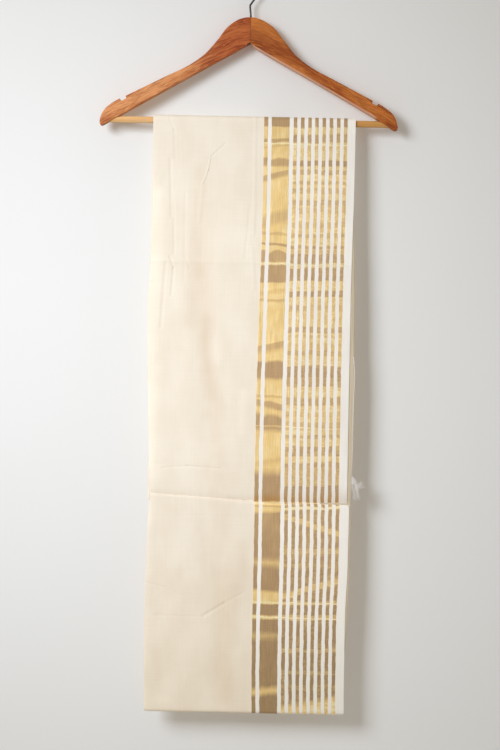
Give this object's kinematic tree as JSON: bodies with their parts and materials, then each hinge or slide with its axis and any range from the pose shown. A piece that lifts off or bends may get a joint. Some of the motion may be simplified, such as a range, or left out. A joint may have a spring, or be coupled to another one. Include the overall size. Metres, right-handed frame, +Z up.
{
  "type": "cotton saree on a wooden hanger",
  "caption": "Cream cotton saree with a striped gold border, folded lengthwise and across and hung over the bar of a wooden coat hanger with a wire hook.",
  "frame": {"origin": "inner top of the hook's wire, where it hangs on a rail", "axes": "+Z up, -Y towards the front of the folded saree, +X towards the side of the border"},
  "size_m": [0.4454, 0.0214, 1.1037],
  "materials": {
    "saree_cloth": "plain woven cream cotton with white and gold zari stripes along one selvage",
    "saree_layers": "folded layers of the same cream cotton, seen at their edges",
    "hanger_wood": "reddish brown stained wood, satin varnish",
    "hanger_bar_wood": "paler wood, satin varnish",
    "hook_wire": "dark steel wire, semi-gloss"
  },
  "bodies": {
    "root": {"saree_front_outer": "saree_cloth", "saree_second_fold": "saree_cloth", "saree_front_layers": "saree_layers", "saree_back_outer": "saree_cloth", "saree_back_layers": "saree_layers", "hanger_arm_left": "hanger_wood", "hanger_arm_right": "hanger_wood", "hanger_bar": "hanger_bar_wood", "hanger_hook": "hook_wire"}
  },
  "joints": []
}
